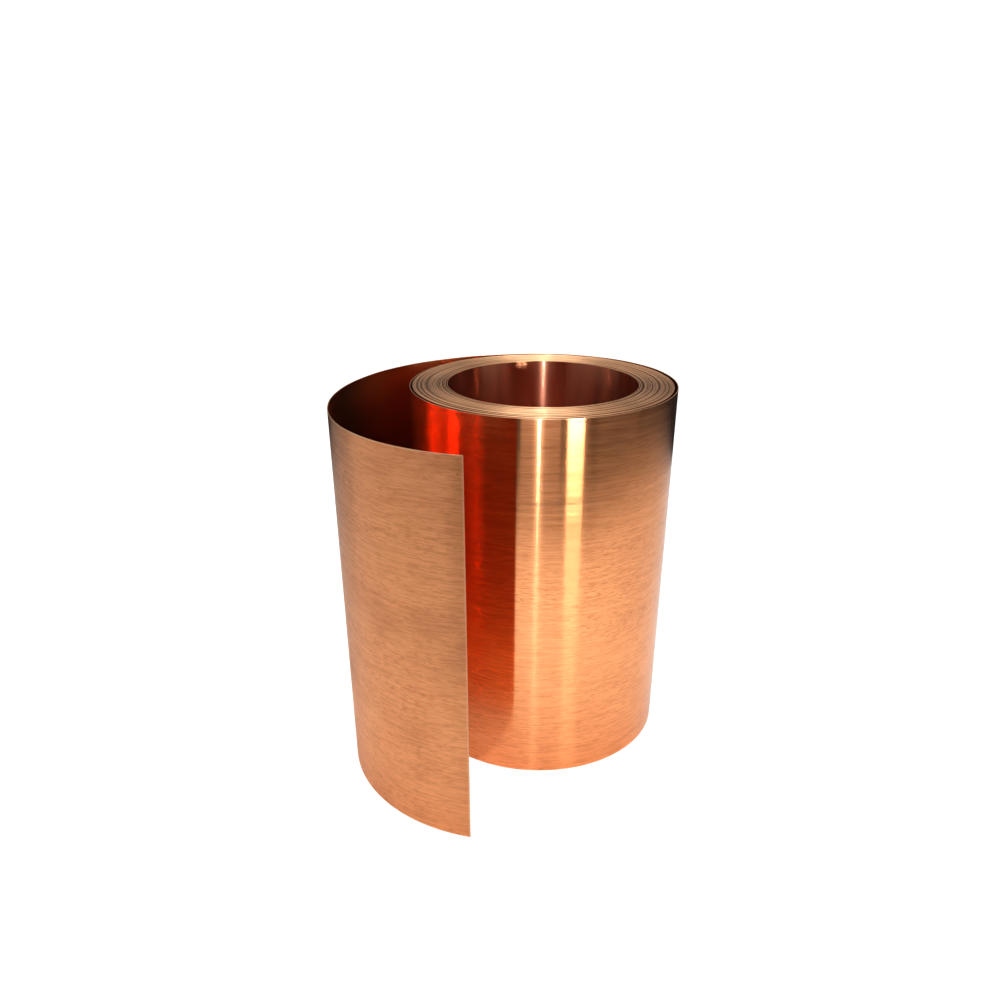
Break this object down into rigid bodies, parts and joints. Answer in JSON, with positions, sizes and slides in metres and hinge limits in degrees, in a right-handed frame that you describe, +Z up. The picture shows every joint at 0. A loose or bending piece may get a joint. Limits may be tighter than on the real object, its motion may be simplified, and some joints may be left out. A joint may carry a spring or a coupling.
{
  "type": "copper foil roll",
  "caption": "Roll of plain copper strip wound on itself round an open bore, standing on end, with its outer end sprung open as a tail.",
  "frame": {"origin": "on the roll's axis at its lower end", "axes": "+Z up along the bore; -X towards the sprung tail, -Y towards its free edge"},
  "size_m": [0.1768, 0.1937, 0.2],
  "materials": {
    "copper": "rolled copper, satin, lightly tarnished and smudged"
  },
  "bodies": {
    "outer_turn": {"outer_turn": "copper"},
    "winding_1": {"winding_1": "copper"},
    "winding_2": {"winding_2": "copper"},
    "winding_3": {"winding_3": "copper"},
    "winding_4": {"winding_4": "copper"},
    "winding_5": {"winding_5": "copper"},
    "winding_6": {"winding_6": "copper"},
    "winding_7": {"winding_7": "copper"},
    "winding_8": {"winding_8": "copper"},
    "winding_9": {"winding_9": "copper"},
    "tail_01": {"tail_01": "copper"},
    "tail_02": {"tail_02": "copper"},
    "tail_03": {"tail_03": "copper"},
    "tail_04": {"tail_04": "copper"},
    "tail_05": {"tail_05": "copper"},
    "tail_06": {"tail_06": "copper"},
    "tail_07": {"tail_07": "copper"},
    "tail_08": {"tail_08": "copper"},
    "tail_09": {"tail_09": "copper"},
    "tail_10": {"tail_10": "copper"},
    "tail_11": {"tail_11": "copper"},
    "tail_12": {"tail_12": "copper"}
  },
  "joints": [
    {"name": "winding_9_slide", "type": "slide", "parent": "outer_turn", "child": "winding_9", "axis": [0, 0, 1], "range_m": [0, 0.0025]},
    {"name": "winding_8_slide", "type": "slide", "parent": "winding_9", "child": "winding_8", "axis": [0, 0, 1], "range_m": [0, 0.0025]},
    {"name": "winding_7_slide", "type": "slide", "parent": "winding_8", "child": "winding_7", "axis": [0, 0, 1], "range_m": [0, 0.0025]},
    {"name": "winding_6_slide", "type": "slide", "parent": "winding_7", "child": "winding_6", "axis": [0, 0, 1], "range_m": [0, 0.0025]},
    {"name": "winding_5_slide", "type": "slide", "parent": "winding_6", "child": "winding_5", "axis": [0, 0, 1], "range_m": [0, 0.0025]},
    {"name": "winding_4_slide", "type": "slide", "parent": "winding_5", "child": "winding_4", "axis": [0, 0, 1], "range_m": [0, 0.0025]},
    {"name": "winding_3_slide", "type": "slide", "parent": "winding_4", "child": "winding_3", "axis": [0, 0, 1], "range_m": [0, 0.0025]},
    {"name": "winding_2_slide", "type": "slide", "parent": "winding_3", "child": "winding_2", "axis": [0, 0, 1], "range_m": [0, 0.0025]},
    {"name": "winding_1_slide", "type": "slide", "parent": "winding_2", "child": "winding_1", "axis": [0, 0, 1], "range_m": [0, 0.0025]},
    {"name": "tail_01_flex", "type": "hinge", "parent": "outer_turn", "child": "tail_01", "pos_m": [-0.00498, 0.07074, 0], "axis": [0, 0, 1], "range_deg": [-3.78, 3.78], "stiffness_Nm_per_rad": 111},
    {"name": "tail_02_flex", "type": "hinge", "parent": "tail_01", "child": "tail_02", "pos_m": [-0.02206, 0.06834, 0], "axis": [0, 0, 1], "range_deg": [-6.52, 6.52]},
    {"name": "tail_03_flex", "type": "hinge", "parent": "tail_02", "child": "tail_03", "pos_m": [-0.0444, 0.06129, 0], "axis": [0, 0, 1], "range_deg": [-5.47, 5.47]},
    {"name": "tail_04_flex", "type": "hinge", "parent": "tail_03", "child": "tail_04", "pos_m": [-0.06459, 0.0494, 0], "axis": [0, 0, 1], "range_deg": [-5.47, 5.47]},
    {"name": "tail_05_flex", "type": "hinge", "parent": "tail_04", "child": "tail_05", "pos_m": [-0.08159, 0.03327, 0], "axis": [0, 0, 1], "range_deg": [-5.47, 5.47]},
    {"name": "tail_06_flex", "type": "hinge", "parent": "tail_05", "child": "tail_06", "pos_m": [-0.09453, 0.01372, 0], "axis": [0, 0, 1], "range_deg": [-5.47, 5.47]},
    {"name": "tail_07_flex", "type": "hinge", "parent": "tail_06", "child": "tail_07", "pos_m": [-0.10273, -0.00822, 0], "axis": [0, 0, 1], "range_deg": [-5.47, 5.47]},
    {"name": "tail_08_flex", "type": "hinge", "parent": "tail_07", "child": "tail_08", "pos_m": [-0.10579, -0.03146, 0], "axis": [0, 0, 1], "range_deg": [-5.47, 5.47]},
    {"name": "tail_09_flex", "type": "hinge", "parent": "tail_08", "child": "tail_09", "pos_m": [-0.10354, -0.05478, 0], "axis": [0, 0, 1], "range_deg": [-4.43, 4.43]},
    {"name": "tail_10_flex", "type": "hinge", "parent": "tail_09", "child": "tail_10", "pos_m": [-0.09498, -0.07816, 0], "axis": [0, 0, 1], "range_deg": [-3.4, 3.4]},
    {"name": "tail_11_flex", "type": "hinge", "parent": "tail_10", "child": "tail_11", "pos_m": [-0.08021, -0.09821, 0], "axis": [0, 0, 1], "range_deg": [-3.4, 3.4]},
    {"name": "tail_12_flex", "type": "hinge", "parent": "tail_11", "child": "tail_12", "pos_m": [-0.06042, -0.11333, 0], "axis": [0, 0, 1], "range_deg": [-3.4, 3.4]}
  ],
  "couplings": [
    {"joint": "winding_8_slide", "follows": "winding_9_slide", "ratio": 1},
    {"joint": "winding_7_slide", "follows": "winding_9_slide", "ratio": 1},
    {"joint": "winding_6_slide", "follows": "winding_9_slide", "ratio": 1},
    {"joint": "winding_5_slide", "follows": "winding_9_slide", "ratio": 1},
    {"joint": "winding_4_slide", "follows": "winding_9_slide", "ratio": 1},
    {"joint": "winding_3_slide", "follows": "winding_9_slide", "ratio": 1},
    {"joint": "winding_2_slide", "follows": "winding_9_slide", "ratio": 1},
    {"joint": "winding_1_slide", "follows": "winding_9_slide", "ratio": 1},
    {"joint": "tail_02_flex", "follows": "tail_01_flex", "ratio": 1.7222},
    {"joint": "tail_03_flex", "follows": "tail_01_flex", "ratio": 1.4444},
    {"joint": "tail_04_flex", "follows": "tail_01_flex", "ratio": 1.4444},
    {"joint": "tail_05_flex", "follows": "tail_01_flex", "ratio": 1.4444},
    {"joint": "tail_06_flex", "follows": "tail_01_flex", "ratio": 1.4444},
    {"joint": "tail_07_flex", "follows": "tail_01_flex", "ratio": 1.4444},
    {"joint": "tail_08_flex", "follows": "tail_01_flex", "ratio": 1.4444},
    {"joint": "tail_09_flex", "follows": "tail_01_flex", "ratio": 1.1707},
    {"joint": "tail_10_flex", "follows": "tail_01_flex", "ratio": 0.8969},
    {"joint": "tail_11_flex", "follows": "tail_01_flex", "ratio": 0.8969},
    {"joint": "tail_12_flex", "follows": "tail_01_flex", "ratio": 0.8969}
  ]
}
